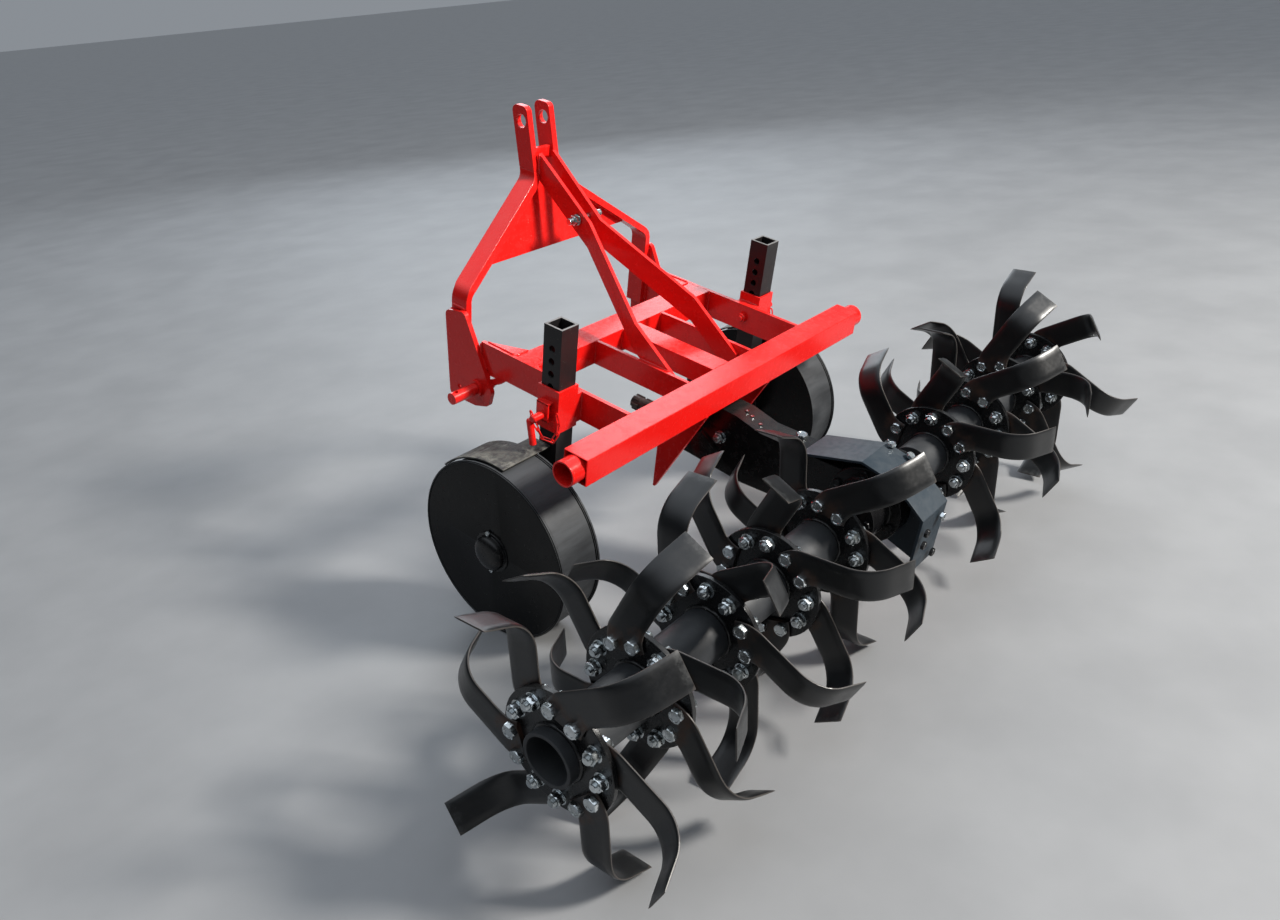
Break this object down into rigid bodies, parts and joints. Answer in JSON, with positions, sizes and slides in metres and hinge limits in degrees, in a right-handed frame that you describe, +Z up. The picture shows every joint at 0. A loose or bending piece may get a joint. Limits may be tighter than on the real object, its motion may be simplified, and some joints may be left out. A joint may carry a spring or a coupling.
{
  "type": "rotary tiller",
  "caption": "Three-point hitch rotary tiller: open frame with mast, central gear case, two depth wheels on posts and a long rotor of bent tines bolted to flanges.",
  "frame": {"origin": "on the floor under the middle of the overall box, as the machine parks on its two wheels and its rotor", "axes": "+X to the machine's right along the rotor, +Y forward to the tractor, +Z up"},
  "size_m": [1.9944, 1.2137, 1.0767],
  "materials": {
    "red_paint": "gloss red, sun-worn",
    "black_paint": "semi-gloss black",
    "dark_post_paint": "satin, rubbed",
    "tine_paint": "satin black, rust at the bolts",
    "zinc_steel": "zinc plated",
    "shaft_steel": "dull, greased",
    "dusty_steel": "dusty black paint"
  },
  "bodies": {
    "frame": {"rear_beam": "red_paint", "beam_end_tubes": "red_paint", "outer_members": "red_paint", "inner_members": "red_paint", "front_tube": "red_paint", "centre_tube": "red_paint", "corner_gussets": "red_paint", "hanger_plates": "red_paint", "hitch_plates": "red_paint", "hitch_braces": "red_paint", "hitch_pins": "red_paint", "mast_legs": "red_paint", "mast_ears": "red_paint", "mast_plate": "red_paint", "mast_spacer": "red_paint", "mast_stays": "red_paint", "stay_bolt": "zinc_steel", "post_sleeves": "red_paint", "wheel_posts": "dark_post_paint", "post_pins": "red_paint", "pin_bosses": "red_paint", "wheel_axles": "black_paint", "wheel_guards": "dusty_steel", "gear_arm": "black_paint", "input_housing": "black_paint", "gear_case": "black_paint", "case_cover": "dusty_steel", "bearing_housings": "black_paint"},
    "left_wheel": {"left_wheel": "black_paint"},
    "right_wheel": {"right_wheel": "black_paint"},
    "rotor": {"rotor_shaft": "shaft_steel", "rotor_tubes": "tine_paint", "rotor_flanges": "tine_paint", "left_tines": "tine_paint", "right_tines": "tine_paint"},
    "input_shaft": {"input_shaft": "shaft_steel"}
  },
  "joints": [
    {"name": "left_wheel_spin", "type": "hinge", "parent": "frame", "child": "left_wheel", "pos_m": [-0.419, 0.29121, 0.213], "axis": [1, 0, 0], "continuous": true},
    {"name": "right_wheel_spin", "type": "hinge", "parent": "frame", "child": "right_wheel", "pos_m": [0.56, 0.29121, 0.213], "axis": [1, 0, 0], "continuous": true},
    {"name": "rotor_spin", "type": "hinge", "parent": "frame", "child": "rotor", "pos_m": [0.0705, -0.33753, 0.2697], "axis": [1, 0, 0], "continuous": true},
    {"name": "input_shaft_spin", "type": "hinge", "parent": "frame", "child": "input_shaft", "pos_m": [0.0705, 0.28016, 0.35473], "axis": [0, 0.9757, 0.2193], "continuous": true}
  ],
  "couplings": [
    {"joint": "input_shaft_spin", "follows": "rotor_spin", "ratio": -2.6}
  ]
}
